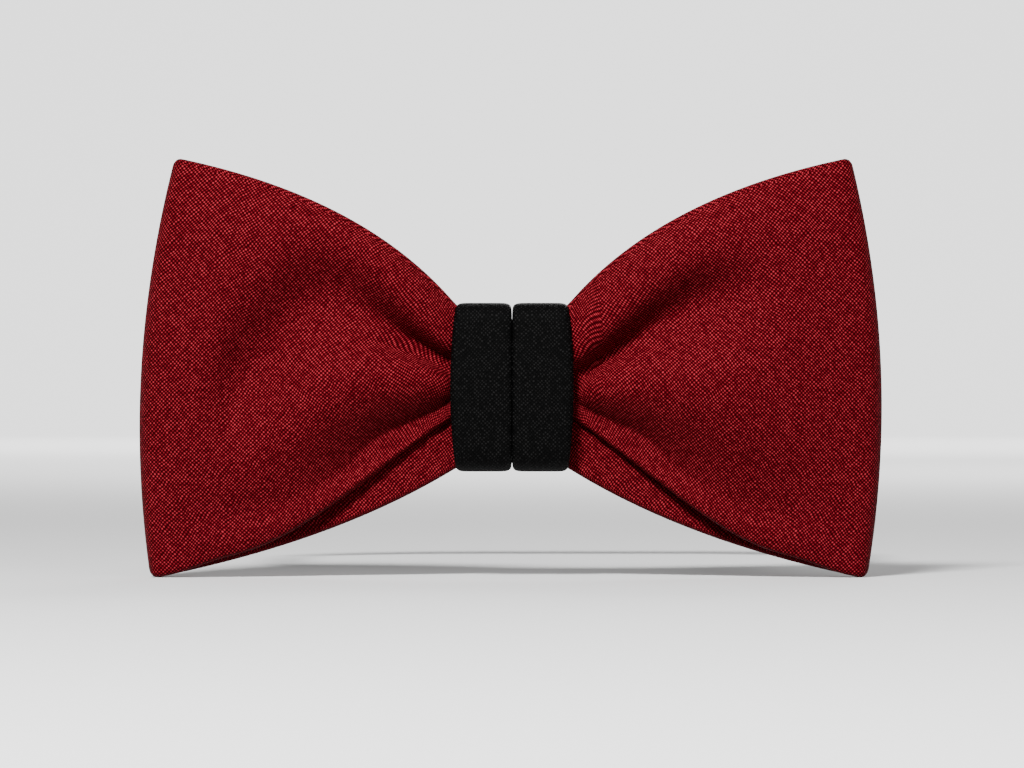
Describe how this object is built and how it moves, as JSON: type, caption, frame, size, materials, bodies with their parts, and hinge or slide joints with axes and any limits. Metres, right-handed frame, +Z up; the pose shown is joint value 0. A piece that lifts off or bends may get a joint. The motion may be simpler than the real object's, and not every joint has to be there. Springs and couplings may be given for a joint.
{
  "type": "bow tie",
  "caption": "Pre-tied butterfly bow tie: folded cloth wings gathered in a banded knot, on an adjustable neck strap with slider, hook and eye.",
  "frame": {"origin": "on the neck side of the strap, behind the middle of the knot", "axes": "+Y from the bow towards the wearer's neck, +Z up, +X towards the side with the hook and eye"},
  "size_m": [0.1398, 0.142, 0.0792],
  "materials": {
    "wing_cloth": "matte",
    "knot_cloth": "matte",
    "strap_webbing": "matte",
    "interlining": "matte",
    "thread": "matte",
    "metal": "polished"
  },
  "bodies": {
    "knot_and_strap": {"knot_band_left": "knot_cloth", "knot_band_right": "knot_cloth", "bow_waist": "wing_cloth", "waist_binding_thread": "thread", "knot_back_stitching": "thread", "strap_tack_left": "thread", "strap_tack_right": "thread", "neck_strap": "strap_webbing", "eye": "metal", "eye_bar_tack": "thread"},
    "left_wing": {"left_wing_cloth": "wing_cloth", "left_wing_interlining": "interlining"},
    "right_wing": {"right_wing_cloth": "wing_cloth", "right_wing_interlining": "interlining"},
    "strap_end": {"strap_end": "strap_webbing", "strap_return": "strap_webbing"},
    "slider": {"slider": "metal", "slider_loop": "strap_webbing", "slider_bar_tack": "thread"},
    "hook": {"hook": "metal"}
  },
  "joints": [
    {"name": "left_wing_flex", "type": "hinge", "parent": "knot_and_strap", "child": "left_wing", "pos_m": [-0.01215, -0.0075, 0], "axis": [0, 0, 1], "range_deg": [-8, 20], "stiffness_Nm_per_rad": 0.02},
    {"name": "right_wing_flex", "type": "hinge", "parent": "knot_and_strap", "child": "right_wing", "pos_m": [0.01215, -0.0075, 0], "axis": [0, 0, -1], "range_deg": [-8, 20], "stiffness_Nm_per_rad": 0.02},
    {"name": "strap_end_swing", "type": "hinge", "parent": "knot_and_strap", "child": "strap_end", "pos_m": [0.05171, 0.0154, 0], "axis": [0, 0, -1], "range_deg": [0, 70]},
    {"name": "slider_slide", "type": "slide", "parent": "strap_end", "child": "slider", "axis": [0, 1, 0], "range_m": [0, 0.02], "deforming": ["strap_return"]},
    {"name": "hook_tilt", "type": "hinge", "parent": "strap_end", "child": "hook", "pos_m": [0.05675, 0.0784, 0], "axis": [0, 0, -1], "range_deg": [0, 80]}
  ]
}
